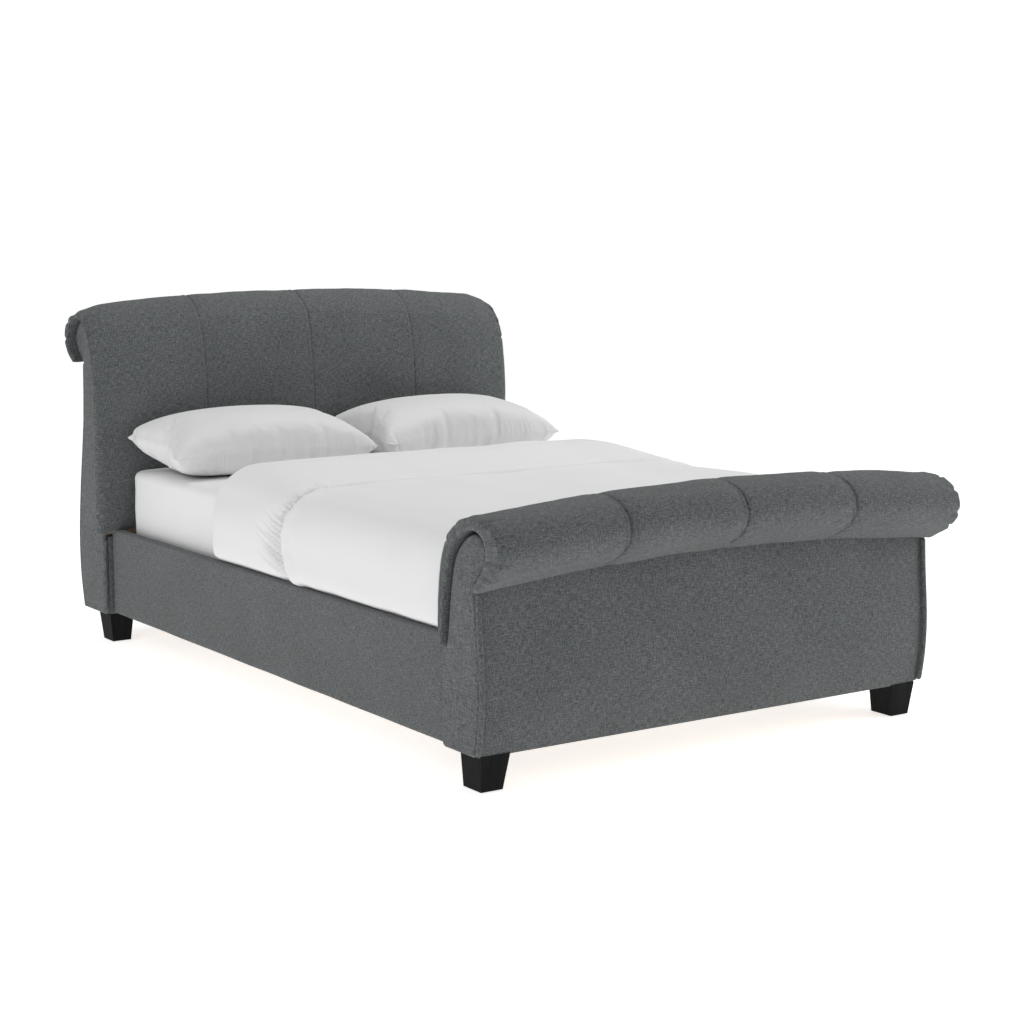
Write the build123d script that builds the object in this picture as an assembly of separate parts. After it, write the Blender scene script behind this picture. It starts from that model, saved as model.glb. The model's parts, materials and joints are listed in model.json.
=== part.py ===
from build123d import *
import math
import os

# An upholstered double sleigh bed, dressed with mattress, sheet, duvet and two pillows.
# Millimetres. +X is the sleeper's right seen from the foot, +Y runs from foot to head, +Z is up.
# The origin is on the floor under the middle of the bed.
# Outlines are drawn in (station, height): station 0 is the front of the footboard panel,
# and stations grow towards the headboard.

# Overall
LENGTH_FORE = -95.0            # station of the front of the footboard scroll
LENGTH_AFT = 2352.0            # station of the back of the headboard scroll
MID_STATION = (LENGTH_FORE + LENGTH_AFT) / 2
BODY_BOTTOM = 92.0             # underside of the boards, top of the feet

# Half widths, measured from the middle plane
FOOT_PAD_HALF = 740.0
FOOT_FACING_HALF = 726.0
FOOT_PANEL_HALF = 716.0
HEAD_PAD_HALF = 775.0
HEAD_FACING_HALF = 742.0
FACING_THICK = 15.0
RIB_THICK = 17.0
PANEL_GAP = 0.5                # sewing and assembly clearance between pieces

# Scroll arch: how far the middle of each roll stands above its ends
ARCH_RISE = 40.0

# Side rails
RAIL_OUTER = 714.0
RAIL_THICK = 31.0
COVER_THICK = 3.0
RAIL_BOTTOM = 95.0
RAIL_TOP = 365.0
RAIL_FORE = 168.3
RAIL_AFT = 2141.7
COVER_ROUNDING = 5.0
SCREW_COUNT = 6
SCREW_FIRST = 260.0
SCREW_PITCH = 362.0
SCREW_SIZE = (2.5, 46.0)       # radius, length
SCREW_HEAD = (5.0, 2.5)

# Mattress base
LEDGE_SIZE = (30.0, 28.0)      # width, height
LEDGE_TOP = 290.0
LEDGE_STATIONS = (182.0, 2128.0)
CENTRE_RAIL_SIZE = (44.0, 58.0)
SLAT_SIZE = (53.0, 8.0)        # width, thickness
SLAT_COUNT = 16
SLAT_FIRST = 225.0
SLAT_PITCH = 122.0
SLAT_INNER = 6.0
SLAT_OUTER = 674.0
SLAT_LIFT = 4.0                # slat underside above the ledge
HOLDER_HEIGHT = 16.0
HOLDER_LENGTH = 61.0
SIDE_HOLDER_X = (642.0, 682.0)
CENTRE_HOLDER_HALF = 46.0
CENTRE_RAIL_STATIONS = (168.5, 2138.2)
BRACKET_THICK = 3.0
BRACKET_HALF = 40.0
BRACKET_LOW = 215.0
SHELF_HALF = 30.0
SHELF_REACH = 40.0
SHELF_THICK = 4.0
CENTRE_LEG_STATIONS = (720.0, 1560.0)
CENTRE_LEG_RADIUS = 17.0
CENTRE_LEG_BOTTOM = 24.0
GLIDE_STEM_RADIUS = 5.0
GLIDE_STEM_LENGTH = 82.0
GLIDE_BORE_RADIUS = 5.6
GLIDE_BORE_DEPTH = 90.0
GLIDE_DISC = (22.0, 10.0)      # radius, height
GLIDE_ROUNDING = 1.5
LEG_PLATE_THICK = 4.0
LEG_PLATE_LENGTH = 60.0

# Feet: tapered blocks, (x low, x high, station low, station high) on the right-hand side
FOOT_PAD_HEIGHT = 2.0
FOOT_PAD_RADIUS = 22.0
FOOT_BOLT = (4.0, 80.0)        # radius, length
FRONT_BOLT_STATION = 75.0
HEAD_BOLT_STATION = 2184.0
FRONT_FOOT_BOTTOM = (637.0, 699.0, 38.0, 115.0)
FRONT_FOOT_TOP = (624.0, 707.0, 25.0, 115.0)
HEAD_FOOT_BOTTOM = (657.0, 718.0, 2145.0, 2217.0)
HEAD_FOOT_TOP = (645.0, 726.0, 2145.0, 2230.0)

# Corner joints
PLATE_INNER = 645.0
PLATE_HEIGHTS = (130.0, 230.0)
PLATE_THICK = 3.0
PLATE_REACH = 60.0
FOOT_PLATE_STATION = 167.7
BED_BOLT_X = 662.0
BED_BOLT_HEIGHTS = (155.0, 205.0)
BED_BOLT_RADIUS = 4.0
BED_BOLT_HEAD = (8.0, 5.0)     # radius, height
FOOT_BOLT_GRIP = 38.0
HEAD_BOLT_GRIP = 56.0
BARREL_NUT = (6.0, 18.0)       # radius, length
NUT_FROM_TIP = 8.0

# Bedding
MATTRESS_HALF = 671.0
MATTRESS_FORE = 192.0
MATTRESS_AFT = 2092.0
MATTRESS_BOTTOM = 306.4
MATTRESS_TOP = 553.6
MATTRESS_CORNER = 60.0
MATTRESS_ROUNDING = 22.0
SHEET_THICK = 2.4
SHEET_HEM = 322.0
BEDDING_GAP = 0.5
DUVET_HALF = 708.0
DUVET_TOP = 610.0
DUVET_FORE = 176.0
DUVET_HEM = 368.0
DUVET_ROUNDING = 45.0
DUVET_UNDER_CUFF = 20.0        # how far the duvet stops short of the cuff's upper edge
CUFF_FORE = 1010.0
CUFF_AFT = 1462.0
CUFF_TOP = 646.0
CUFF_HALF = 714.0
CUFF_HEM = 370.0
CUFF_ROUNDING = 60.0
HOLLOW_ROUNDING = 20.0
PILLOW_SIZE = (706.0, 424.0, 196.0)
PILLOW_CENTRE = (357.0, 1862.0)
PILLOW_CORNER = 60.0
PILLOW_LAYERS = ((0.0, 0.55), (0.22, 0.9), (0.5, 1.0), (0.78, 0.86), (1.0, 0.45))    # height, spread

# Inside the footboard: pairs of stations and heights, or distances from the middle plane
FRONT_PANEL_THICK = 14.0
FRONT_PANEL_TOP = 490.0
FRONT_BOARD_THICK = 4.0
PIPING_SPAN = (0.5, 6.5)       # how far the piping stands off the board's edge
FOOT_PIPING_X = (717.5, 724.5)
FOOT_SCROLL_CORE = (42.0, 572.0, 27.0)       # station, height, radius
FOOT_INNER_BOARD = ((118.0, 128.0), (100.0, 465.0))
FOOT_INNER_PANEL = ((135.0, 165.0), (100.0, 340.0))
FOOT_INNER_PANEL_HALF = 638.0
FOOT_BOTTOM_RAIL = ((47.0, 110.0), (BODY_BOTTOM, 140.0))
FOOT_POST = ((128.5, 167.5), (BODY_BOTTOM, 344.0))
FOOT_POST_INNER = 640.0

# Inside the headboard
BACK_PANEL_THICK = 10.0
BACK_PANEL_TOP = 877.0
BACK_BOARD_THICK = 3.3
HEAD_PIPING_X = (732.0, 739.0)
HEAD_SCROLL_CORE = (2240.0, 960.0, 32.0)
HEAD_INNER_BOARD = ((2151.0, 2160.0), (BODY_BOTTOM, 880.0))
HEAD_LOWER_PANEL = ((2142.0, 2150.5), (BODY_BOTTOM, 342.0))
HEAD_POST = ((2161.0, 2206.0), (BODY_BOTTOM, 880.0))
HEAD_POST_X = (650.0, 700.0)
HEAD_CROSS_RAIL_HEIGHTS = ((BODY_BOTTOM, 150.0), (450.0, 495.0), (820.0, 880.0))

# The footboard's side outline
FOOT_FRONT = [(27, 92), (13, 166), (8, 250), (12, 333), (18, 400), (27, 503)]
FOOT_WELT = [*FOOT_FRONT[:-1], (24, 484)]
FOOT_SCROLL = [(27, 503), (-8, 540), (-22, 585), (35, 622), (90, 583), (117, 529), (140, 380)]
FOOT_STEP = [(140, 380), (149, 345), (168, 333)]
FOOT_PAD_OUTER = [(165, 348), (173, 440), (158, 570), (118, 629), (25, 661), (-70, 635),
                  (-95, 586), (-68, 534), (4, 494)]
FOOT_PAD_INNER = [(22, 497), (-13, 537), (-26, 586), (34, 626), (94, 587), (120, 530), (143, 383), (151, 348)]
FOOT_RIB_HEAD = [(49, 503), (17, 540), (7, 580), (38, 598), (70, 576), (97, 520), (118, 390)]
FOOT_RIB_BACK = [(118, 390), (124, 345), (165, 333), (165, 92), (49, 92)]
FOOT_RIB_INSET = 22.0

# The headboard's side outline
HEAD_BACK = [(2308, 92), (2329, 193), (2334, 272), (2331, 352), (2309, 512), (2276, 697), (2265, 884)]
HEAD_SCROLL = [(2265, 884), (2293, 911), (2321, 962), (2275, 1017), (2202, 1000), (2160, 940), (2150, 860)]
HEAD_STEP = [(2150, 345), (2148, 335), (2143, 330)]
HEAD_PAD_FRONT = [(2104, 370), (2104, 750)]
HEAD_PAD_ROLL = [(2104, 750), (2115, 850), (2150, 990), (2245, 1060), (2325, 1024), (2352, 972), (2333, 922),
                 (2288, 892)]
HEAD_PAD_INNER = [(2272, 883), (2301, 908), (2327, 962), (2276, 1022), (2198, 1003), (2157, 940), (2147, 860)]
HEAD_PAD_FOOT = [(2147, 860), (2147, 370), (2104, 370)]
HEAD_RIB_HEAD = [(2245, 884), (2280, 918), (2303, 960), (2270, 998), (2210, 982), (2174, 930), (2164, 860)]
HEAD_RIB_FRONT = [(2164, 860), (2164, 92), (2288, 92)]
HEAD_RIB_INSET = -20.0


def point(station, height):
    """Length and height in the drawing plane, from a station."""
    return (station - MID_STATION, height)


def curve(outline):
    """A smooth curve through a list of stations and heights."""
    return Spline(*[point(*place) for place in outline])


def lines(outline):
    """Straight edges through a list of stations and heights."""
    return Polyline(*[point(*place) for place in outline])


def arc(outline):
    """A round edge through three places."""
    return ThreePointArc(*[point(*place) for place in outline])


def section(*edges):
    """A flat face standing in the length and height plane."""
    return Plane.YZ * make_face(list(edges))


def across(face, half_width):
    """A straight extrusion over the whole width of the bed."""
    return extrude(face, amount=half_width, both=True)


def side_plate(face, inner, outer):
    """An upright plate on the right side, between two distances from the middle."""
    return Pos(inner, 0, 0) * extrude(face, amount=outer - inner)


def other_side(shape):
    """The same piece on the left side."""
    return mirror(shape, about=Plane.YZ)


def both_sides(shape):
    """A right-hand piece with its left-hand twin."""
    return [shape, other_side(shape)]


def arched(face, half_width, facing_half):
    """Carry a section across the bed on a shallow arch that meets its drawn height at the facings."""
    level = facing_half - FACING_THICK / 2
    radius = (level ** 2 + ARCH_RISE ** 2) / (2 * ARCH_RISE)
    half_angle = math.degrees(math.asin(half_width / radius)) + 1.0
    pivot = Axis((0, 0, -radius), (0, 1, 0))
    start = (Pos(0, 0, ARCH_RISE) * face).rotate(pivot, -half_angle)
    sweep = revolve(start, pivot, 2 * half_angle)
    return sweep & Box(2 * half_width, 2 * LENGTH_AFT, 4 * radius)


def block(x_span, station_span, height_span):
    """A plain box from its low and high sides."""
    size = [high - low for low, high in (x_span, station_span, height_span)]
    middle = [(low + high) / 2 for low, high in (x_span, station_span, height_span)]
    return Pos(middle[0], middle[1] - MID_STATION, middle[2]) * Box(*size)


def bar(half_width, station_span, height_span):
    """A box that spans the bed."""
    return block((-half_width, half_width), station_span, height_span)


def strip(outline, near, far):
    """A thin band that follows a curve, between two offsets along the bed."""
    front = shifted(outline, near)
    back = shifted(outline, far)
    return section(curve(front), curve(back), lines([front[0], back[0]]), lines([front[-1], back[-1]]))


def shifted(outline, amount):
    """The same outline moved along the bed."""
    return [(station + amount, height) for station, height in outline]


def under(fore, aft, top):
    """A rectangle from the floor up to a height, between two stations."""
    return section(lines([(fore, 0), (aft, 0), (aft, top), (fore, top), (fore, 0)]))


def scroll_core(station, height, radius):
    """The round section of the timber rail inside a scroll."""
    return Plane.YZ * Pos(*point(station, height)) * Circle(radius)


def foot_tongue():
    """The outline of a footboard facing: S-shaped front, scroll head, step and straight base."""
    down = lines([FOOT_STEP[-1], (FOOT_STEP[-1][0], BODY_BOTTOM), FOOT_FRONT[0]])
    return section(curve(FOOT_FRONT), curve(FOOT_SCROLL), arc(FOOT_STEP), down)


def head_tongue():
    """The outline of a headboard facing, with its S-shaped side to the back."""
    front = lines([HEAD_SCROLL[-1], HEAD_STEP[0]])
    down = lines([HEAD_STEP[-1], (HEAD_STEP[-1][0], BODY_BOTTOM), HEAD_BACK[0]])
    return section(curve(HEAD_BACK), curve(HEAD_SCROLL), front, arc(HEAD_STEP), down)


def write(name, shape):
    """Export one node, from one solid or a list of separate solids."""
    if isinstance(shape, list):
        solids = [solid for piece in shape for solid in piece.solids()]
        shape = Compound(children=solids) if len(solids) > 1 else solids[0]
    export_step(shape, f"parts/{name}.step")


def write_pair(name, right, end=""):
    """Export a right-hand piece and its left-hand mirror image."""
    prefix = f"{end}_" if end else ""
    write(f"{prefix}right_{name}", right)
    write(f"{prefix}left_{name}", other_side(right))


def footboard():
    outline = foot_tongue()
    pad = section(curve(FOOT_PAD_OUTER), lines([FOOT_PAD_OUTER[-1], FOOT_PAD_INNER[0]]),
                  curve(FOOT_PAD_INNER), lines([FOOT_PAD_INNER[-1], FOOT_PAD_OUTER[0]]))
    write("footboard_roll_pad", arched(pad, FOOT_PAD_HALF, FOOT_FACING_HALF))

    facing_inner = FOOT_FACING_HALF - FACING_THICK
    write_pair("facing", side_plate(outline, facing_inner, FOOT_FACING_HALF), "footboard")
    rib_outer = facing_inner - 2 * PANEL_GAP
    rib_inner = rib_outer - RIB_THICK
    rib_front = shifted(FOOT_FRONT, FOOT_RIB_INSET)
    rib = section(curve(rib_front), curve(FOOT_RIB_HEAD), lines(FOOT_RIB_BACK))
    write_pair("rib", side_plate(rib, rib_inner, rib_outer), "footboard")

    panel = across(strip(FOOT_FRONT, 0, FRONT_PANEL_THICK), FOOT_PANEL_HALF)
    facing_notch = side_plate(outline, facing_inner - PANEL_GAP, FOOT_FACING_HALF)
    below_roll = under(LENGTH_FORE, FOOT_STEP[-1][0], FRONT_PANEL_TOP)
    panel = panel & arched(below_roll, FOOT_PAD_HALF, FOOT_FACING_HALF)
    write("footboard_front_panel", panel - facing_notch - other_side(facing_notch))
    board_near = FRONT_PANEL_THICK + PANEL_GAP
    board = strip(FOOT_FRONT[:-1], board_near, board_near + FRONT_BOARD_THICK)
    write("footboard_front_board", across(board, rib_inner - PANEL_GAP))
    piping = strip(FOOT_WELT, -PIPING_SPAN[1], -PIPING_SPAN[0])
    write_pair("piping", side_plate(piping, *FOOT_PIPING_X), "footboard")

    inside = rib_inner - PANEL_GAP
    write("footboard_scroll_rail", arched(scroll_core(*FOOT_SCROLL_CORE), inside, FOOT_FACING_HALF))
    write("footboard_inner_board", bar(inside, *FOOT_INNER_BOARD))
    write("footboard_inner_panel", bar(FOOT_INNER_PANEL_HALF, *FOOT_INNER_PANEL))
    write("footboard_bottom_rail", bar(inside, *FOOT_BOTTOM_RAIL))
    write("footboard_posts", both_sides(block((FOOT_POST_INNER, inside), *FOOT_POST)))


def headboard():
    outline = head_tongue()
    pad = section(lines(HEAD_PAD_FRONT), curve(HEAD_PAD_ROLL), lines([HEAD_PAD_ROLL[-1], HEAD_PAD_INNER[0]]),
                  curve(HEAD_PAD_INNER), lines(HEAD_PAD_FOOT))
    write("headboard_pad", arched(pad, HEAD_PAD_HALF, HEAD_FACING_HALF))

    facing_inner = HEAD_FACING_HALF - FACING_THICK
    write_pair("facing", side_plate(outline, facing_inner, HEAD_FACING_HALF), "headboard")
    rib_outer = facing_inner - 2 * PANEL_GAP
    rib_inner = rib_outer - RIB_THICK
    rib_back = shifted(HEAD_BACK, HEAD_RIB_INSET)
    rib = section(curve(rib_back), curve(HEAD_RIB_HEAD), lines(HEAD_RIB_FRONT))
    write_pair("rib", side_plate(rib, rib_inner, rib_outer), "headboard")

    panel = across(strip(HEAD_BACK, -BACK_PANEL_THICK, 0), facing_inner - PANEL_GAP)
    below_roll = under(HEAD_POST[0][1], LENGTH_AFT, BACK_PANEL_TOP)
    write("headboard_back_panel", panel & arched(below_roll, HEAD_PAD_HALF, HEAD_FACING_HALF))
    board_far = BACK_PANEL_THICK + PANEL_GAP
    board = strip(HEAD_BACK[:-1], -board_far - BACK_BOARD_THICK, -board_far)
    write("headboard_back_board", across(board, rib_inner - PANEL_GAP))
    write_pair("piping", side_plate(strip(HEAD_BACK, *PIPING_SPAN), *HEAD_PIPING_X), "headboard")

    inside = rib_inner - PANEL_GAP
    write("headboard_scroll_rail", arched(scroll_core(*HEAD_SCROLL_CORE), inside, HEAD_FACING_HALF))
    write("headboard_inner_board", bar(inside, *HEAD_INNER_BOARD))
    write("headboard_lower_panel", bar(facing_inner - PANEL_GAP, *HEAD_LOWER_PANEL))
    write("headboard_posts", both_sides(block(HEAD_POST_X, *HEAD_POST)))
    rail_half = HEAD_POST_X[0] - PANEL_GAP
    rails = [bar(rail_half, HEAD_POST[0], span) for span in HEAD_CROSS_RAIL_HEIGHTS]
    write("headboard_cross_rails", rails)


def side_rails():
    outer = (RAIL_OUTER - RAIL_THICK, RAIL_OUTER)
    inner = (outer[0] + COVER_THICK, outer[1] - COVER_THICK)
    length = (RAIL_FORE, RAIL_AFT)
    core = block(inner, length, (RAIL_BOTTOM + COVER_THICK, RAIL_TOP - COVER_THICK))
    sleeve = block(outer, length, (RAIL_BOTTOM, RAIL_TOP))
    sleeve = fillet(sleeve.edges().filter_by(Axis.Y), COVER_ROUNDING) - core
    write_pair("rail_core", core)
    write_pair("rail_cover", sleeve)
    ledge_face = outer[0] - LEDGE_SIZE[0]
    ledge = block((ledge_face, outer[0]), LEDGE_STATIONS, (LEDGE_TOP - LEDGE_SIZE[1], LEDGE_TOP))
    write_pair("slat_ledge", ledge)
    screw = Rot(0, 90, 0) * Cylinder(*SCREW_SIZE)
    head = Rot(0, 90, 0) * Cylinder(*SCREW_HEAD)
    middle = LEDGE_TOP - LEDGE_SIZE[1] / 2
    screws = []
    for step in range(SCREW_COUNT):
        y = SCREW_FIRST + SCREW_PITCH * step - MID_STATION
        shank = Pos(ledge_face + SCREW_SIZE[1] / 2 - 1, y, middle) * screw
        screws += both_sides(shank + Pos(ledge_face - SCREW_HEAD[1] / 2, y, middle) * head)
    write("ledge_screws", screws)


def slat_stations():
    return [SLAT_FIRST + SLAT_PITCH * step for step in range(SLAT_COUNT)]


def rail_bracket(face, away, beam_low):
    """A plate on an end panel with a shelf under the centre rail; away is the way the shelf points."""
    near, far = sorted((face, face + BRACKET_THICK * away))
    plate = bar(BRACKET_HALF, (near, far), (BRACKET_LOW, LEDGE_TOP))
    near, far = sorted((face + BRACKET_THICK * away, face + (BRACKET_THICK + SHELF_REACH) * away))
    return plate + bar(SHELF_HALF, (near, far), (beam_low - SHELF_THICK, beam_low))


def mattress_base():
    slat_low = LEDGE_TOP + SLAT_LIFT
    slats = []
    side_holders = []
    centre_holders = []
    for station in slat_stations():
        width = (station - SLAT_SIZE[0] / 2, station + SLAT_SIZE[0] / 2)
        slat = block((SLAT_INNER, SLAT_OUTER), width, (slat_low, slat_low + SLAT_SIZE[1]))
        slats.append(slat)
        reach = (station - HOLDER_LENGTH / 2, station + HOLDER_LENGTH / 2)
        heights = (LEDGE_TOP, LEDGE_TOP + HOLDER_HEIGHT)
        side_holders += both_sides(block(SIDE_HOLDER_X, reach, heights) - slat)
        centre_holders.append(bar(CENTRE_HOLDER_HALF, reach, heights) - slat - other_side(slat))
    write("right_slats", slats)
    write("left_slats", [other_side(slat) for slat in slats])
    write("side_slat_holders", side_holders)
    write("centre_slat_holders", centre_holders)

    beam_half = CENTRE_RAIL_SIZE[0] / 2
    beam_low = LEDGE_TOP - CENTRE_RAIL_SIZE[1]
    write("centre_rail", bar(beam_half, CENTRE_RAIL_STATIONS, (beam_low, LEDGE_TOP)))
    write("centre_rail_brackets", [rail_bracket(FOOT_INNER_PANEL[0][1] + 0.2, 1, beam_low),
                                   rail_bracket(HEAD_LOWER_PANEL[0][0] - 0.3, -1, beam_low)])

    for name, station in zip(("front", "rear"), CENTRE_LEG_STATIONS):
        place = Pos(0, station - MID_STATION, 0)
        tube_height = beam_low - LEG_PLATE_THICK - CENTRE_LEG_BOTTOM
        tube = Pos(0, 0, CENTRE_LEG_BOTTOM + tube_height / 2) * Cylinder(CENTRE_LEG_RADIUS, tube_height)
        bore_middle = CENTRE_LEG_BOTTOM + GLIDE_BORE_DEPTH / 2
        bore = Pos(0, 0, bore_middle) * Cylinder(GLIDE_BORE_RADIUS, GLIDE_BORE_DEPTH)
        plate_middle = beam_low - LEG_PLATE_THICK / 2
        plate = Pos(0, 0, plate_middle) * Box(CENTRE_RAIL_SIZE[0], LEG_PLATE_LENGTH, LEG_PLATE_THICK)
        write(f"{name}_centre_leg", place * (tube - bore + plate))
        disc = Cylinder(GLIDE_DISC[0], GLIDE_DISC[1])
        disc = Pos(0, 0, GLIDE_DISC[1] / 2) * fillet(disc.edges(), GLIDE_ROUNDING)
        stem_middle = GLIDE_DISC[1] - 1 + GLIDE_STEM_LENGTH / 2
        stem = Pos(0, 0, stem_middle) * Cylinder(GLIDE_STEM_RADIUS, GLIDE_STEM_LENGTH)
        write(f"{name}_leg_glide", place * (disc + stem))


def tapered_foot(bottom, top):
    """A block that narrows towards the floor."""
    def outline(sides, height):
        x_low, x_high, near, far = sides
        place = Pos((x_low + x_high) / 2, (near + far) / 2 - MID_STATION, height)
        return place * Rectangle(x_high - x_low, far - near)
    return loft([outline(bottom, FOOT_PAD_HEIGHT), outline(top, BODY_BOTTOM)], ruled=True)


def feet():
    pads = []
    bolts = []
    for end, bottom, top, bolt_station in (("front", FRONT_FOOT_BOTTOM, FRONT_FOOT_TOP, FRONT_BOLT_STATION),
                                           ("head", HEAD_FOOT_BOTTOM, HEAD_FOOT_TOP, HEAD_BOLT_STATION)):
        foot = tapered_foot(bottom, top)
        write_pair("foot", foot, end)
        x_middle = (bottom[0] + bottom[1]) / 2
        y_middle = (bottom[2] + bottom[3]) / 2 - MID_STATION
        pad = Pos(x_middle, y_middle, FOOT_PAD_HEIGHT / 2) * Cylinder(FOOT_PAD_RADIUS, FOOT_PAD_HEIGHT)
        pads += both_sides(pad)
        bolt = Pos(x_middle, bolt_station - MID_STATION, BODY_BOTTOM) * Cylinder(*FOOT_BOLT)
        bolts += both_sides(bolt)
    write("foot_pads", pads)
    write("foot_bolts", bolts)


def corner_joints():
    """Angle plates, bolts and barrel nuts that hang the side rails on the two boards."""
    plates = []
    bolts = []
    nuts = []
    rail_face = RAIL_OUTER - RAIL_THICK
    lay = Rot(90, 0, 0)
    for board_face, away, grip in ((FOOT_PLATE_STATION, 1, FOOT_BOLT_GRIP), (RAIL_AFT, -1, HEAD_BOLT_GRIP)):
        plate_face = board_face + PLATE_THICK * away
        near, far = sorted((board_face, plate_face))
        flange = block((PLATE_INNER, rail_face), (near, far), PLATE_HEIGHTS)
        near, far = sorted((plate_face, plate_face + PLATE_REACH * away))
        leg = block((rail_face - PLATE_THICK, rail_face), (near, far), PLATE_HEIGHTS)
        plates += both_sides(flange + leg)
        for height in BED_BOLT_HEIGHTS:
            place = Pos(BED_BOLT_X, -MID_STATION, height)
            shank = Pos(0, plate_face - away * grip / 2, 0) * lay * Cylinder(BED_BOLT_RADIUS, grip)
            head = Pos(0, plate_face + away * BED_BOLT_HEAD[1] / 2, 0) * lay * Cylinder(*BED_BOLT_HEAD)
            bolts += both_sides(place * (shank + head))
            nut = Pos(0, board_face + away * (NUT_FROM_TIP - grip), 0) * Cylinder(*BARREL_NUT)
            nuts += both_sides(place * nut)
    write("corner_brackets", plates)
    write("bed_bolts", bolts)
    write("barrel_nuts", nuts)


def upper_long_edges(shape):
    """The top edges of a block that run along the bed."""
    return shape.edges().filter_by(Axis.Y).group_by(Axis.Z)[-1]


def bedding():
    mattress = bar(MATTRESS_HALF, (MATTRESS_FORE, MATTRESS_AFT), (MATTRESS_BOTTOM, MATTRESS_TOP))
    mattress = fillet(mattress.edges().filter_by(Axis.Z), MATTRESS_CORNER)
    mattress = fillet(mattress.edges().group_by(Axis.Z)[-1], MATTRESS_ROUNDING)
    write("mattress", mattress)

    skin_half = MATTRESS_HALF + SHEET_THICK
    skin_fore = MATTRESS_FORE - SHEET_THICK
    skin_top = MATTRESS_TOP + SHEET_THICK
    skin = bar(skin_half, (skin_fore, MATTRESS_AFT + SHEET_THICK), (SHEET_HEM, skin_top))
    skin = fillet(skin.edges().filter_by(Axis.Z), MATTRESS_CORNER + SHEET_THICK)
    skin = fillet(skin.edges().group_by(Axis.Z)[-1], MATTRESS_ROUNDING + SHEET_THICK)
    write("fitted_sheet", skin - mattress)

    hollow = bar(skin_half + BEDDING_GAP, (skin_fore - BEDDING_GAP, LENGTH_AFT), (0, skin_top + BEDDING_GAP))
    hollow = fillet(upper_long_edges(hollow), HOLLOW_ROUNDING)
    duvet = bar(DUVET_HALF, (DUVET_FORE, CUFF_AFT - DUVET_UNDER_CUFF), (DUVET_HEM, DUVET_TOP))
    duvet = fillet(upper_long_edges(duvet), DUVET_ROUNDING) - hollow
    cuff = bar(CUFF_HALF, (CUFF_FORE, CUFF_AFT), (CUFF_HEM, CUFF_TOP))
    cuff = fillet(upper_long_edges(cuff), CUFF_ROUNDING) - hollow
    write("duvet", duvet)
    write("duvet_cuff", cuff - duvet)

    rest = skin_top + BEDDING_GAP + 0.1
    width, depth, height = PILLOW_SIZE
    layers = []
    for lift, spread in PILLOW_LAYERS:
        rim = RectangleRounded(width * spread, depth * spread, PILLOW_CORNER * spread)
        layers.append(Pos(PILLOW_CENTRE[0], PILLOW_CENTRE[1] - MID_STATION, rest + height * lift) * rim)
    clearance = bar(HEAD_PAD_HALF, (0, LENGTH_AFT), (rest, rest + height))
    write_pair("pillow", loft(layers) & clearance)


os.makedirs("parts", exist_ok=True)
footboard()
headboard()
side_rails()
mattress_base()
feet()
corner_joints()
bedding()
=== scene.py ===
import json
import math
import random

import bmesh
import bpy
import numpy as np
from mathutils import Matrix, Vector


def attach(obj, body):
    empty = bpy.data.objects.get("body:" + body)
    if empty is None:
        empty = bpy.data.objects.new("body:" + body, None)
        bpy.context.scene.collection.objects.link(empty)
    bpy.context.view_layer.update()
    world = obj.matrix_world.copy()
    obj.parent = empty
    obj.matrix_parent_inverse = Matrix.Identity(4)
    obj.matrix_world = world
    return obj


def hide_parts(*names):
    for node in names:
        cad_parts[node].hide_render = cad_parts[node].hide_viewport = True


# An upholstered double sleigh bed: scrolled headboard and footboard in grey melange cloth,
# with mattress, fitted sheet, duvet with a turned-back cuff, and two pillows.
# Outlines are in millimetres as (station, height); station 0 is the front of the footboard.
# +X is to the right seen from the foot. Meshes are written in metres, in the bed's frame.

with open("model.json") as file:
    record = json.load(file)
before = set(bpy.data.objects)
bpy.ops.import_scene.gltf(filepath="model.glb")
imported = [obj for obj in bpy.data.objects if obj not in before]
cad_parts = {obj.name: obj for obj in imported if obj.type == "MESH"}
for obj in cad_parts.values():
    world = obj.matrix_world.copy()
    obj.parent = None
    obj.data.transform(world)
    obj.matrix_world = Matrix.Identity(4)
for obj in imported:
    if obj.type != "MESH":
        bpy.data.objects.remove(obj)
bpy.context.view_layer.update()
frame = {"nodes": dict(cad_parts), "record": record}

MM = 0.001
MID_STATION = 1128.5
SIDES = ((1, "right"), (-1, "left"))

# Upholstered boards
FOOT_PAD_HALF = 740.0
FOOT_FACING_HALF = 726.0
HEAD_PAD_HALF = 772.0
HEAD_FACING_HALF = 742.0
FACING_THICK = 15.0
FACING_EDGE = 7.0
FACING_CORNER = 12.0
FACING_CROWN = 0.6
ARCH_RISE = 40.0
FOOT_SEAMS = (-362.0, 0.0, 362.0)
HEAD_SEAMS = (-390.0, 0.0, 390.0)

FOOT_FRONT = [(27, 92), (13, 166), (8, 250), (12, 333), (18, 400), (27, 503)]
FOOT_SCROLL = [(27, 503), (-9, 540), (-24, 586), (-6, 615), (35, 624), (90, 585), (117, 529), (140, 380)]
FOOT_STEP = [(140, 380), (149, 345), (168, 333)]
FOOT_PAD_OUTER = [(163, 348), (166, 440), (150, 562), (112, 627), (25, 663), (-70, 641), (-101, 590),
                  (-76, 537), (5, 490)]
FOOT_PAD_INNER = [(149, 348), (142, 430), (122, 532), (95, 590), (36, 631), (-14, 623), (-31, 585),
                  (-16, 543), (21, 500)]
HEAD_BACK = [(2308, 92), (2329, 193), (2334, 272), (2331, 352), (2309, 512), (2276, 697), (2265, 884)]
HEAD_SCROLL = [(2265, 884), (2293, 911), (2321, 962), (2275, 1017), (2202, 1000), (2160, 940), (2150, 860)]
HEAD_STEP = [(2150, 345), (2148, 335), (2143, 330)]
HEAD_PAD_OUTER = [(2104, 370), (2103, 480), (2103, 620), (2104, 750), (2115, 850), (2150, 990), (2245, 1060),
                  (2322, 1026), (2350, 974), (2334, 920), (2288, 891)]
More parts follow.
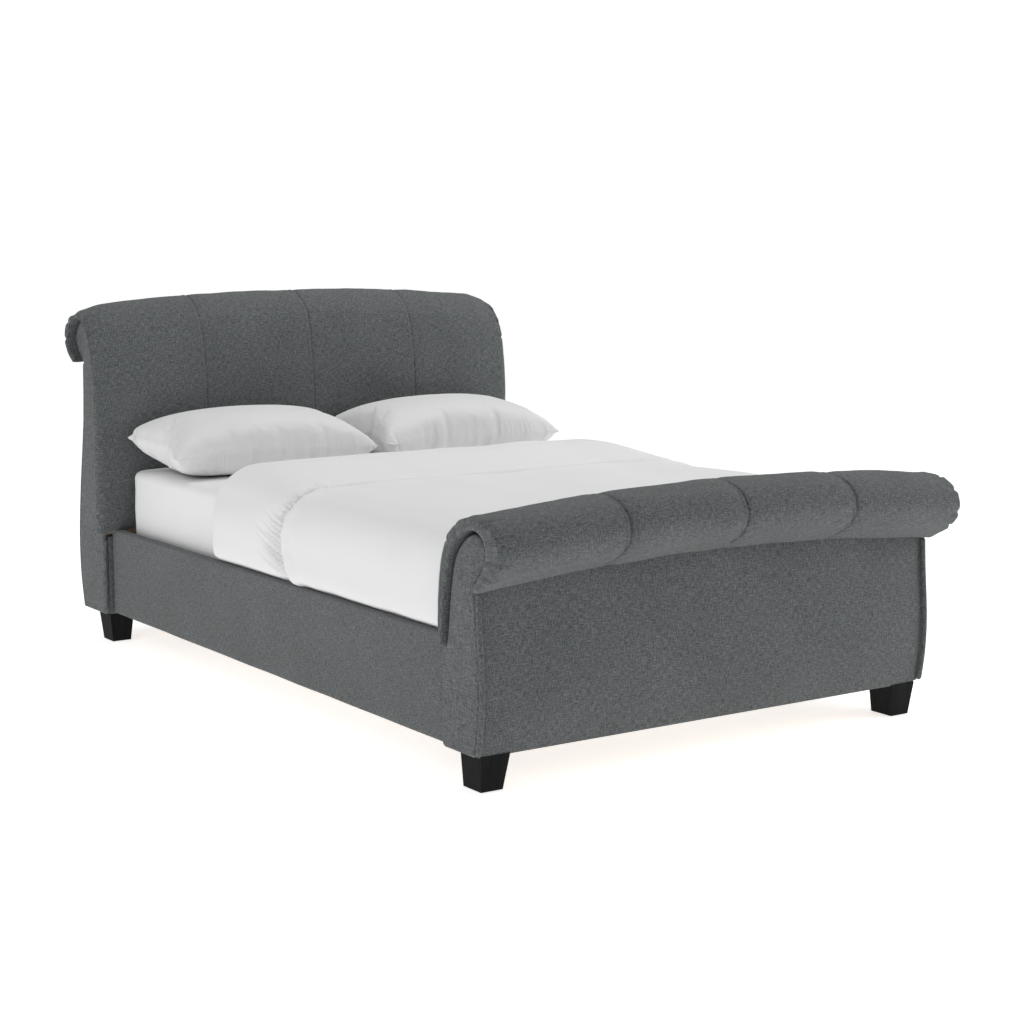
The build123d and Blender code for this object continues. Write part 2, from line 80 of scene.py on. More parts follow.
HEAD_PAD_INNER = [(2147, 370), (2147, 480), (2147, 620), (2147, 750), (2147, 860), (2157, 940), (2198, 1003),
                  (2276, 1022), (2327, 964), (2301, 909), (2272, 886)]

# Bedding; the duvet's outlines are (across, height)
MATTRESS_HALF = 671.0
MATTRESS_FORE = 192.0
MATTRESS_AFT = 2092.0
MATTRESS_CORNER = 60.0
DUVET_OUTER = [(-696, 369), (-712, 381), (-718, 440), (-711, 540), (-684, 590), (-620, 607), (-300, 612),
               (0, 614), (300, 612), (620, 607), (684, 590), (711, 540), (718, 440), (712, 381), (696, 369)]
DUVET_INNER = [(-676, 372), (-676, 384), (-676, 440), (-676, 525), (-667, 553), (-620, 559), (-300, 559),
               (0, 559), (300, 559), (620, 559), (667, 553), (676, 525), (676, 440), (676, 384), (676, 372)]
DUVET_FORE = 181.0
DUVET_AFT = 1000.0
CUFF_AFT = 1440.0
CUFF_DEPTH = 430.0
FOLD_ZONE = 430.0

# Pillows, in metres apart from the station in mm and the two angles in degrees
PILLOW_FLAT = (0.748, 0.478)
PILLOW_HALF = (0.353, 0.208, 0.106)
PILLOW_ASIDE = 0.3555
PILLOW_SHIFT = 0.003
PILLOW_STATION = 1872.0
PILLOW_REST = 0.5572
PILLOW_RISE = 0.090
PILLOW_TILT = 5.0
PILLOW_TURN = 1.2
PUCKER_PITCH = 0.015
PUCKER_REACH = 0.030
PUCKER_DEPTH = 0.0024

# Studio: each softbox is a name, place, aim, size and power
CAMERA_PLACE = (-3.319, -5.082, 1.378)
CAMERA_PITCH = 81.62
CAMERA_YAW = -34.16
CAMERA_LENS = 73.13
WORLD_LIGHT = 0.39
WORLD_SEEN = 1.05
FLOOR_HALF = 30
FLOOR_GLOW = 0.70
SOFTBOXES = (("key", (-4.8, -0.6, 3.2), (0, 0, 0.4), 3.0, 62),
             ("side", (3.6, -2.9, 2.0), (0.4, -0.9, 0.5), 1.8, 62),
             ("top", (1.2, 0.6, 4.6), (0.2, 0.2, 0.4), 3.2, 76))


# Mesh tools

def smooth(points, steps):
    """A centripetal Catmull-Rom curve through points, with the same number of steps in every span."""
    p = np.array(points, float)
    p = np.vstack([2 * p[0] - p[1], p, 2 * p[-1] - p[-2]])
    made = []
    for k in range(1, len(p) - 2):
        knots = [0.0]
        for a, b in zip(p[k - 1:k + 2], p[k:k + 3]):
            knots.append(knots[-1] + math.sqrt(np.linalg.norm(b - a)))
        t = np.linspace(knots[1], knots[2], steps, endpoint=False)[:, None]
        level = list(p[k - 1:k + 3])
        for size in (1, 2, 3):
            level = [(level[i] * (knots[i + size] - t) + level[i + 1] * (t - knots[i]))
                     / (knots[i + size] - knots[i]) for i in range(4 - size)]
        made.append(level[0])
    return np.vstack([*made, p[-2:-1]])


def lengths(path):
    """Distance along a path at each of its points."""
    return np.concatenate([[0.0], np.cumsum(np.linalg.norm(np.diff(path, axis=0), axis=1))])


def resample(path, spacing):
    """The same path with even spacing."""
    along = lengths(path)
    even = np.linspace(0, along[-1], max(2, int(round(along[-1] / spacing)) + 1))
    return np.stack([np.interp(even, along, path[:, k]) for k in range(path.shape[1])], axis=1)


def paired(outer, inner, spacing):
    """Two matching smooth paths, evenly spaced along the outer one."""
    both = np.hstack([smooth(outer, 40), smooth(inner, 40)])
    along = lengths(both[:, :2])
    even = np.linspace(0, along[-1], int(round(along[-1] / spacing)) + 1)
    both = np.stack([np.interp(even, along, both[:, k]) for k in range(4)], axis=1)
    return both[:, :2], both[:, 2:]


def normals_2d(path, away_from):
    """Unit normals of a path in its plane, turned away from the matching path."""
    tangent = np.gradient(path, axis=0)
    normal = np.stack([-tangent[:, 1], tangent[:, 0]], axis=1)
    normal /= np.linalg.norm(normal, axis=1)[:, None] + 1e-9
    flip = np.sign(((path - away_from) * normal).sum(axis=1))
    flip[flip == 0] = 1
    return normal * flip[:, None]


def waves(u, v, size, seed):
    """Smooth seeded undulation between about -1 and 1; size is its typical wavelength."""
    rng = random.Random(seed)
    count = 7
    total = 0.0
    for _ in range(count):
        angle = rng.uniform(0, math.tau)
        k = math.tau / (size * rng.uniform(0.7, 1.6))
        total = total + np.sin(k * (u * math.cos(angle) + v * math.sin(angle)) + rng.uniform(0, math.tau))
    return total / math.sqrt(count) / 1.3


def ease(x, low, high):
    """0 below low, 1 above high, smooth between."""
    t = np.clip((x - low) / (high - low), 0, 1)
    return t * t * (3 - 2 * t)


def make_object(name, vertices, faces, body, slot, cloth):
    """A mesh object in metres that rides on a body; cloth holds flat cloth coordinates in metres."""
    mesh = bpy.data.meshes.new(name)
    mesh.from_pydata(np.asarray(vertices, float).tolist(), [], faces)
    attribute = mesh.attributes.new("cloth", "FLOAT_VECTOR", "POINT")
    attribute.data.foreach_set("vector", np.asarray(cloth, np.float32).ravel())
    bm = bmesh.new()
    bm.from_mesh(mesh)
    bmesh.ops.recalc_face_normals(bm, faces=bm.faces)
    bm.to_mesh(mesh)
    bm.free()
    mesh.shade_smooth()
    piece = bpy.data.objects.new(name, mesh)
    bpy.context.scene.collection.objects.link(piece)
    mesh.materials.append(MATERIALS[slot])
    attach(piece, body)
    return piece


def end_spread(half, radius, spacing, details=()):
    """Places across a piece: even, closer at its rounded ends, and close around each detail."""
    places = list(np.arange(-half + radius, half - radius, spacing))
    for degrees in (0, 12, 24, 36, 47, 57, 66, 74, 81, 86):
        reach = radius * math.sin(math.radians(degrees))
        places += [half - radius + reach, -half + radius - reach]
    for middle in details:
        for off in (0, 1.5, 3, 4.5, 6, 8, 10.5, 14, 19, 26, 36):
            places += [middle + off, middle - off]
    places = sorted(places)
    closest = 0.7
    kept = [places[0]]
    for place in places[1:]:
        if place - kept[-1] > closest:
            kept.append(place)
    return np.array(kept)


def end_fullness(places, half, radius, power=2.0):
    """How much of its thickness a strip keeps at each place, rounding to almost nothing at the ends."""
    beyond = np.clip((np.abs(places) - (half - radius)) / radius, 0, 1)
    return np.maximum((1 - beyond ** power) ** (1 / power), 0.06)


def band(name, outer, inner, places, fullness, place, body, slot, puff, bevel=0.9, draw=None):
    """A closed padded strip: matching outer and inner paths carried along, thinning to rounded ends.
    place turns (along, first, second, length) arrays into metres; puff is an outward push in mm, and
    draw pulls the two end faces in, by distance along the section."""
    count = len(outer)
    along = lengths(outer)
    middle = (outer + inner) / 2
    normal = normals_2d(outer, middle)
    w = places[:, None] + 0 * along[None, :]
    t = along[None, :] + 0 * w
    full = fullness[:, None, None]
    push = puff(w, t)[:, :, None] * np.minimum(1, full * 1.4)
    top = middle + (outer - middle) * full + normal * push
    low = middle + (inner - middle) * full

    def cap(at, inward):
        """Three points that round off the open edge of the strip."""
        a, b = outer[at], inner[at]
        out = middle[at] - middle[inward]
        out = out / np.linalg.norm(out) * np.linalg.norm(a - b) / 2 * bevel
        rows = [(a - b) / 2 * math.cos(angle) + out * math.sin(angle)
                for angle in (math.pi / 4, math.pi / 2, 3 * math.pi / 4)]
        return middle[at] + np.array(rows)[None] * full

    last = cap(count - 1, count - 2)
    first = cap(0, 1)[:, ::-1]
    loop = np.concatenate([top, last, low[:, ::-1], first], axis=1)
    size = loop.shape[1]
    total = lengths(np.vstack([outer, inner[::-1]]))[-1]
    edge_steps = np.array([3, 6, 9])
    returning = total - (total - along[-1] - 12) * np.linspace(1, 0, count)
    round_it = np.concatenate([along, along[-1] + edge_steps, returning, total + edge_steps])
    lw = places[:, None] + 0 * loop[:, :, 0]
    lt = round_it[None, :] + 0 * lw
    if draw:
        pull = draw(along)
        ends = np.concatenate([pull, pull[[-1] * 3], pull[::-1], pull[[0] * 3]])
        lw = lw - np.sign(places)[:, None] * (1 - fullness[:, None]) * ends[None, :]
    points = place(lw, loop[:, :, 0], loop[:, :, 1], lt)
    faces = []
    for j in range(len(places) - 1):
        for i in range(size):
            k = (i + 1) % size
            faces.append((j * size + i, j * size + k, (j + 1) * size + k, (j + 1) * size + i))
    for j in (0, len(places) - 1):
        base = j * size
        for i in range(count - 1):
            back = base + 2 * count + 2 - i
            faces.append((base + i, base + i + 1, back - 1, back))
        faces.append(tuple(base + count - 1 + i for i in range(5)))
        faces.append((*[base + 2 * count + 2 + i for i in range(4)], base))
    cloth = np.stack([lw, lt, 0 * lt], axis=2).reshape(-1, 3) * MM
    return make_object(name, points.reshape(-1, 3), faces, body, slot, cloth)


def rounded_box(name, low, high, radius, step, body, slot, cloth_axes, puff=None):
    """A box in mm with rounded edges and a grid on every side; puff pushes points outward in mm."""
    low = np.array(low, float)
    high = np.array(high, float)
    lines = []
    for a, b in zip(low, high):
        turn = [radius * (1 - math.cos(math.radians(d))) for d in (0, 22, 42, 60, 76)] + [radius]
        inside = np.arange(a + radius, b - radius, step)[1:]
        lines.append(np.array([*[a + v for v in turn], *inside, *[b - v for v in reversed(turn)]]))
    index = {}
    grid = []
    faces = []

    def vertex(key):
        if key not in index:
            index[key] = len(grid)
            grid.append([lines[axis][key[axis]] for axis in range(3)])
        return index[key]

    for axis in range(3):
        across, up = [other for other in range(3) if other != axis]
        for side in (0, len(lines[axis]) - 1):
            for i in range(len(lines[across]) - 1):
                for j in range(len(lines[up]) - 1):
                    corners = []
                    for di, dj in ((0, 0), (1, 0), (1, 1), (0, 1)):
                        key = [0, 0, 0]
                        key[axis] = side
                        key[across] = i + di
                        key[up] = j + dj
                        corners.append(vertex(tuple(key)))
                    faces.append(corners)
    grid = np.array(grid)
    core = np.clip(grid, low + radius, high - radius)
    away = grid - core
    away /= np.linalg.norm(away, axis=1)[:, None] + 1e-9
    points = core + away * radius
    if puff:
        points = points + away * puff(points)[:, None]
    across, up = cloth_axes
    cloth = np.stack([points[:, across], points[:, up] + points[:, 0], 0 * points[:, 0]], axis=1) * MM
    points = points * MM
    points[:, 1] -= MID_STATION * MM
    return make_object(name, points, faces, body, slot, cloth)


def plate(name, outline, inner, outer, radius, body, slot):
    """An upholstered side facing: a closed outline between two planes, with a soft rounded outer edge."""
    path = resample(np.vstack([outline, outline[:1]]), 4.0)[:-1]
    area = np.sum(path[:, 0] * np.roll(path[:, 1], -1) - np.roll(path[:, 0], -1) * path[:, 1])
    tangent = np.roll(path, -1, axis=0) - np.roll(path, 1, axis=0)
    normal = np.stack([-tangent[:, 1], tangent[:, 0]], axis=1) * (1 if area > 0 else -1)
    normal /= np.linalg.norm(normal, axis=1)[:, None]
    sign = 1 if outer > inner else -1
    rings = [(0.0, inner)]
    for degrees in (0, 18, 36, 54, 72):
        a = math.radians(degrees)
        rings.append((radius * (1 - math.cos(a)), outer - sign * radius * (1 - math.sin(a))))
    rings += [(radius, outer), (radius + 3, outer + sign * FACING_CROWN)]
    rows = []
    for inset, x in rings:
        ring = path + normal * inset
        rows.append(np.stack([x + 0 * ring[:, 0], ring[:, 0] - MID_STATION, ring[:, 1]], axis=1))
    size = len(path)
    faces = []
    for r in range(len(rows) - 1):
        for i in range(size):
            k = (i + 1) % size
            faces.append((r * size + i, r * size + k, (r + 1) * size + k, (r + 1) * size + i))
    faces.append(tuple(range(size)))
    faces.append(tuple((len(rows) - 1) * size + i for i in range(size)))
    points = np.vstack(rows)
    cloth = np.stack([points[:, 1], points[:, 2], points[:, 0]], axis=1) * MM
    return make_object(name, points * MM, faces, body, slot, cloth)


def corner_arc(corner, radius, start, end):
    """Points of a rounded corner, from its centre offset and two angles in degrees."""
    angles = np.radians(np.linspace(start, end, 7))
    return np.array(corner) + radius * np.stack([np.cos(angles), np.sin(angles)], axis=1)


def in_side_plane(line, x, shift):
    """A (station, height) line as (x, y, z) points, moved along the bed by a shift."""
    return np.column_stack([np.full(len(line), float(x)), line[:, 0] + shift - MID_STATION, line[:, 1]])


def tube(name, path, radius, body, slot):
    """A round cord along a path of (x, y, z) points in mm, with rounded ends."""
    path = resample(np.array(path, float), 6.0)
    tangent = np.gradient(path, axis=0)
    tangent /= np.linalg.norm(tangent, axis=1)[:, None]
    side = np.array([1.0, 0.0, 0.0])
    sides = 12
    rows = []
    for k, (point, ahead) in enumerate(zip(path, tangent)):
        up = np.cross(ahead, side)
        up /= np.linalg.norm(up)
        size = radius * (0.55 if k in (0, len(path) - 1) else 1.0)
        for s in range(sides):
            a = math.tau * s / sides
            rows.append(point + size * (side * math.cos(a) + up * math.sin(a)))
    faces = [(r * sides + s, r * sides + (s + 1) % sides, (r + 1) * sides + (s + 1) % sides,
              (r + 1) * sides + s) for r in range(len(path) - 1) for s in range(sides)]
    faces.append(tuple(range(sides)))
    faces.append(tuple((len(path) - 1) * sides + s for s in range(sides)))
    points = np.array(rows)
    cloth = np.stack([points[:, 0], points[:, 2], points[:, 1]], axis=1) * MM
    return make_object(name, points * MM, faces, body, slot, cloth)


# Placing the strips

def arched(facing_half):
    """Strips that run across the bed on the scroll's shallow arch."""
    level = facing_half - FACING_THICK / 2
    radius = (level ** 2 + ARCH_RISE ** 2) / (2 * ARCH_RISE)

    def place(across, station, height, along):
        lifted = np.sqrt((radius + height + ARCH_RISE) ** 2 - across ** 2) - radius
        return np.stack([across, station - MID_STATION, lifted], axis=-1) * MM
    return place


def part_arched(facing_half, bottom, top):
    """Strips whose bottom is straight and whose top follows the arch."""
    level = facing_half - FACING_THICK / 2

    def place(across, station, height, along):
        share = np.clip((height - bottom) / (top - bottom), 0, 1) ** 2
        rise = ARCH_RISE * (1 - (across / level) ** 2) * share
        return np.stack([across, station - MID_STATION, height + rise], axis=-1) * MM
    return place


def stitched(across, seams, groove, valley):
    """Outward push across a quilted pad: soft crowns between pinched seams, with a lapped edge."""
    push = 0 * across
    for seam in seams:
        off = across - seam
        push = push + 0.35 * groove * np.exp(-((off + 7.0) / 4.0) ** 2)
        push = push - groove * np.exp(-((off - 1.5) / 4.2) ** 2) - valley * np.exp(-(off / 24.0) ** 2)
    return push


def gathers(places, depth, width):
    """End faces drawn in at each fold, as a function of the distance along the section."""
    def draw(along):
        pull = 0 * along
        for middle in places:
            pull = pull + depth * np.exp(-((along - middle) / width) ** 2)
            pull = pull - 0.25 * depth * np.exp(-((along - middle - 2.4 * width) / (2 * width)) ** 2)
        return pull
    return draw


def tucks(across, along, half, places, reach=48.0, depth=5.0, width=5.5):
    """Short gathered folds that run in from each rounded end of a pad."""
    near = ease(np.abs(across), half - reach, half - 6)
    push = 0 * across
    for k, middle in enumerate(places):
        lean = (half - np.abs(across)) * (0.22 if k % 2 else -0.16)
        off = along - middle - lean
        push = push - depth * np.exp(-(off / width) ** 2) * near
        push = push + 0.35 * depth * np.exp(-((off - 2.2 * width) / (1.5 * width)) ** 2) * near
    return push


# Materials

def new_material(name):
    material = bpy.data.materials.new(name)
    material.use_nodes = True
    tree = material.node_tree
    return material, tree, tree.nodes["Principled BSDF"]


def add(tree, kind, inputs=None, **settings):
    """A node with its settings, and inputs that are values or (node, output) links."""
    made = tree.nodes.new(kind)
    for key, value in settings.items():
        setattr(made, key, value)
    for key, value in (inputs or {}).items():
        if isinstance(value, tuple) and isinstance(value[0], bpy.types.Node):
            tree.links.new(value[0].outputs[value[1]], made.inputs[key])
        else:
            made.inputs[key].default_value = value
    return made


def math_node(tree, operation, first, second=0.0):
    return add(tree, "ShaderNodeMath", {0: first, 1: second}, operation=operation)


def ramp(tree, factor, stops):
    """A colour ramp through (position, colour) stops."""
    made = add(tree, "ShaderNodeValToRGB", {"Fac": factor})
    elements = made.color_ramp.elements
    while len(elements) < len(stops):
        elements.new(0.5)
    for element, (position, colour) in zip(elements, stops):
        element.position = position
        element.color = (*colour, 1)
    return made


def scaled_noise(tree, vector, scale, detail=2.0, roughness=0.5):
    """Noise on coordinates stretched by a scale per axis."""
    mapping = add(tree, "ShaderNodeMapping", {"Vector": vector, "Scale": scale})
    return add(tree, "ShaderNodeTexNoise", {"Vector": (mapping, "Vector"), "Scale": 1.0, "Detail": detail,
                                            "Roughness": roughness})


def melange(name, dark, middle, light):
    """Woven upholstery cloth: mixed dark and light yarns, slubs, a plain weave and a soft nap."""
    material, tree, shader = new_material(name)
    cloth = add(tree, "ShaderNodeAttribute", attribute_name="cloth", attribute_type="GEOMETRY")
    vector = (cloth, "Vector")
    warp = scaled_noise(tree, vector, (430, 60, 240), 3, 0.62)
    weft = scaled_noise(tree, vector, (60, 430, 240), 3, 0.62)
    fleck = scaled_noise(tree, vector, (260, 260, 260), 2, 0.7)
    slub = scaled_noise(tree, vector, (22, 260, 60), 2, 0.6)
    broad = scaled_noise(tree, vector, (5, 4, 5), 3, 0.5)
    yarns = math_node(tree, "ADD", (warp, "Fac"), (weft, "Fac"))
    yarns = math_node(tree, "MULTIPLY", (yarns, 0), 0.36)
    flecked = math_node(tree, "MULTIPLY_ADD", (fleck, "Fac"), 0.28)
    tree.links.new(yarns.outputs[0], flecked.inputs[2])
    colour = ramp(tree, (flecked, 0), [(0.408, dark), (0.5, middle), (0.592, light)])
    shade = add(tree, "ShaderNodeMapRange", {"Value": (broad, "Fac"), "From Min": 0.3, "From Max": 0.7,
                                             "To Min": 0.93, "To Max": 1.07})
    slubs = add(tree, "ShaderNodeMapRange", {"Value": (slub, "Fac"), "From Min": 0.55, "From Max": 0.75,
                                             "To Min": 1.0, "To Max": 1.22})
    both = math_node(tree, "MULTIPLY", (shade, "Result"), (slubs, "Result"))
    tint = add(tree, "ShaderNodeVectorMath", {0: (colour, "Color")}, operation="SCALE")
    tree.links.new(both.outputs[0], tint.inputs["Scale"])
    tree.links.new(tint.outputs[0], shader.inputs["Base Color"])
    split = add(tree, "ShaderNodeSeparateXYZ", {"Vector": vector})
    thread_pitch = 0.0017
    across = math_node(tree, "SINE", (math_node(tree, "MULTIPLY", (split, "X"), math.tau / thread_pitch), 0))
    up = math_node(tree, "SINE", (math_node(tree, "MULTIPLY", (split, "Y"), math.tau / thread_pitch), 0))
    weave = math_node(tree, "MULTIPLY", (across, 0), (up, 0))
    height = math_node(tree, "MULTIPLY_ADD", (weave, 0), 0.35)
    tree.links.new(flecked.outputs[0], height.inputs[2])
    bump = add(tree, "ShaderNodeBump", {"Height": (height, 0), "Strength": 0.7, "Distance": 0.0010})
    soft = scaled_noise(tree, vector, (16, 13, 14), 3, 0.55)
    dents = add(tree, "ShaderNodeBump", {"Height": (soft, "Fac"), "Strength": 0.35, "Distance": 0.006,
                                         "Normal": (bump, "Normal")})
    tree.links.new(dents.outputs["Normal"], shader.inputs["Normal"])
    shader.inputs["Roughness"].default_value = 0.95
    shader.inputs["Specular IOR Level"].default_value = 0.15
    shader.inputs["Sheen Weight"].default_value = 0.18
    shader.inputs["Sheen Roughness"].default_value = 0.45
    return material


def cotton(name, light, shadow):
    """Smooth bed linen: percale weave, faint pressed creases and a soft sheen."""
    material, tree, shader = new_material(name)
    cloth = add(tree, "ShaderNodeAttribute", attribute_name="cloth", attribute_type="GEOMETRY")
    vector = (cloth, "Vector")
    broad = scaled_noise(tree, vector, (3, 3, 3), 3, 0.5)
    colour = ramp(tree, (broad, "Fac"), [(0.3, shadow), (0.7, light)])
    tree.links.new(colour.outputs["Color"], shader.inputs["Base Color"])
    thread = scaled_noise(tree, vector, (1500, 260, 600), 2, 0.6)
    other = scaled_noise(tree, vector, (260, 1500, 600), 2, 0.6)
    weave = math_node(tree, "ADD", (thread, "Fac"), (other, "Fac"))
    fine = add(tree, "ShaderNodeBump", {"Height": (weave, 0), "Strength": 0.18, "Distance": 0.0004})
    creases = scaled_noise(tree, vector, (9, 6, 8), 4, 0.45)
    soft = add(tree, "ShaderNodeBump", {"Height": (creases, "Fac"), "Strength": 0.3, "Distance": 0.004,
                                        "Normal": (fine, "Normal")})
    tree.links.new(soft.outputs["Normal"], shader.inputs["Normal"])
    shader.inputs["Roughness"].default_value = 0.85
    shader.inputs["Specular IOR Level"].default_value = 0.2
    shader.inputs["Sheen Weight"].default_value = 0.08
    return material


def timber(name, dark, light, grain, roughness, coat=0.0, specular=0.25):
    """Wood with grain stretched along one axis of the bed."""
    material, tree, shader = new_material(name)
    place = add(tree, "ShaderNodeTexCoord")
    vector = (place, "Object")
    rings = scaled_noise(tree, vector, grain, 6, 0.6)
    fine = scaled_noise(tree, vector, tuple(4 * g for g in grain), 3, 0.7)
    mixed = math_node(tree, "MULTIPLY_ADD", (fine, "Fac"), 0.35)
    tree.links.new(math_node(tree, "MULTIPLY", (rings, "Fac"), 0.65).outputs[0], mixed.inputs[2])
    colour = ramp(tree, (mixed, 0), [(0.35, dark), (0.65, light)])
    tree.links.new(colour.outputs["Color"], shader.inputs["Base Color"])
    dents = add(tree, "ShaderNodeBump", {"Height": (mixed, 0), "Strength": 0.4, "Distance": 0.0004})
    tree.links.new(dents.outputs["Normal"], shader.inputs["Normal"])
    shader.inputs["Roughness"].default_value = roughness
    shader.inputs["Coat Weight"].default_value = coat
    shader.inputs["Specular IOR Level"].default_value = specular
    shader.inputs["Coat Roughness"].default_value = 0.35
    return material


def moulded(name, dark, light, roughness, metallic, speckle):
    """Plastic, plated or painted metal with a fine texture."""
    material, tree, shader = new_material(name)
    place = add(tree, "ShaderNodeTexCoord")
    noise = scaled_noise(tree, (place, "Object"), (speckle, speckle, speckle), 4, 0.6)
    colour = ramp(tree, (noise, "Fac"), [(0.35, dark), (0.65, light)])
    tree.links.new(colour.outputs["Color"], shader.inputs["Base Color"])
    rough = add(tree, "ShaderNodeMapRange", {"Value": (noise, "Fac"), "To Min": roughness - 0.08,
                                             "To Max": roughness + 0.08})
    tree.links.new(rough.outputs["Result"], shader.inputs["Roughness"])
    dents = add(tree, "ShaderNodeBump", {"Height": (noise, "Fac"), "Strength": 0.25, "Distance": 0.0003})
    tree.links.new(dents.outputs["Normal"], shader.inputs["Normal"])
    shader.inputs["Metallic"].default_value = metallic
    return material


MATERIALS = {
    "grey_linen": melange("grey_linen", (0.055, 0.060, 0.062), (0.108, 0.116, 0.118), (0.185, 0.195, 0.195)),
    "white_cotton": cotton("white_cotton", (0.81, 0.81, 0.815), (0.78, 0.78, 0.79)),
    # pillow_cotton is the duvet's white cotton painted darker: painted shade for the pillows set back under
    # the headboard
    "pillow_cotton": cotton("pillow_cotton", (0.74, 0.74, 0.745), (0.70, 0.70, 0.705)),
    "ticking": cotton("ticking", (0.76, 0.75, 0.72), (0.66, 0.66, 0.65)),
    "plywood": timber("plywood", (0.42, 0.28, 0.14), (0.62, 0.46, 0.27), (4, 12, 160), 0.7),
    "hardboard": timber("hardboard", (0.2, 0.11, 0.05), (0.34, 0.2, 0.1), (90, 90, 90), 0.75),
    "pine": timber("pine", (0.48, 0.31, 0.14), (0.72, 0.53, 0.3), (3, 90, 90), 0.65),
    "beech": timber("beech", (0.55, 0.36, 0.2), (0.76, 0.56, 0.36), (3, 70, 160), 0.4, coat=0.4),
    "black_wood": timber("black_wood", (0.004, 0.0044, 0.0046), (0.010, 0.0106, 0.011), (60, 60, 5), 0.6,
                         specular=0.08),
    "black_plastic": moulded("black_plastic", (0.015, 0.015, 0.016), (0.028, 0.028, 0.03), 0.6, 0.0, 900),
    "zinc_steel": moulded("zinc_steel", (0.5, 0.5, 0.48), (0.7, 0.7, 0.66), 0.35, 1.0, 260),
    "black_steel": moulded("black_steel", (0.014, 0.014, 0.014), (0.03, 0.03, 0.03), 0.5, 0.3, 1100),
}


# Footboard

def footboard():
    outer, inner = paired(FOOT_PAD_OUTER, FOOT_PAD_INNER, 4.0)
    rounding = 22.0
    across = end_spread(FOOT_PAD_HALF, rounding, 8.0, FOOT_SEAMS)
    total = lengths(outer)[-1]
    folds = (262, 318, 372, 440, 505, 565, 618)

    def puff(w, t):
        quilt = stitched(w, FOOT_SEAMS, 4.6, 3.6) * ease(t, 20, 120)
        slack = 1.6 * waves(w, t, 190, 3) + 0.7 * waves(w, t, 60, 4)
        near_seam = sum(np.exp(-(np.abs(w - seam) / 40.0)) for seam in FOOT_SEAMS)
        pulls = 1.3 * near_seam * np.sin((t + 0.8 * np.abs(w)) / 7.5 + 2 * waves(w, t, 120, 5))
        pulls = pulls * ease(t, total - 220, total - 60)
        return 2.0 + quilt + slack + pulls + tucks(w, t, FOOT_PAD_HALF, folds)

    pad = band("footboard_roll_pad_cloth", outer, inner, across,
               end_fullness(across, FOOT_PAD_HALF, rounding, 3.2), arched(FOOT_FACING_HALF), "bed_frame",
               "grey_linen", puff, draw=gathers(folds, 4.5, 5.0))
    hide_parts("footboard_roll_pad")

    outline = np.vstack([smooth([(25, 104), *FOOT_FRONT[1:]], 12)[:-1], smooth(FOOT_SCROLL, 12)[:-1],
                         smooth(FOOT_STEP, 8)[:-3], corner_arc((156, 319), FACING_CORNER, 60, 0),
                         corner_arc((156, 104), FACING_CORNER, 0, -90),
                         corner_arc((38, 104), FACING_CORNER, -90, -172)])
    line = smooth([(24, 99), *FOOT_FRONT[1:-1], (23, 490)], 12)
    for side, name in SIDES:
        facing = plate(f"footboard_{name}_facing_cloth", outline, side * (FOOT_FACING_HALF - FACING_THICK),
                       side * FOOT_FACING_HALF, FACING_EDGE, "bed_frame", "grey_linen")
        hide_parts(f"footboard_{name}_facing")
        path = in_side_plane(line, side * 718.5, -4.6)
        welt = tube(f"footboard_{name}_welt_1", path, 7.2, "bed_frame", "grey_linen")
        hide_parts(f"footboard_{name}_piping")

    front = resample(smooth([*FOOT_FRONT[:-1], (24, 498)], 30), 9.0)
    back = front + np.array([13.5, 0])
    half = FOOT_FACING_HALF - 14
    places = end_spread(half, 8.0, 14.0)

    def swell(w, t):
        crown = 3.0 * (1 - (np.abs(w) / half) ** 4) * np.sin(math.pi * np.clip(t / lengths(front)[-1], 0, 1))
        return crown + 0.9 * waves(w, t, 260, 11) - 1.0

    panel = band("footboard_front_panel_cloth", front, back, places, end_fullness(places, half, 8.0),
                 part_arched(FOOT_FACING_HALF, 92, 498), "bed_frame", "grey_linen", swell, bevel=0.6)
    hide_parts("footboard_front_panel")
    inside = rounded_box("footboard_inner_panel_cloth", (-638, 135.5, 100), (638, 164.5, 340), 6, 40,
                         "bed_frame", "grey_linen", (0, 2))
    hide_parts("footboard_inner_panel")


# Headboard

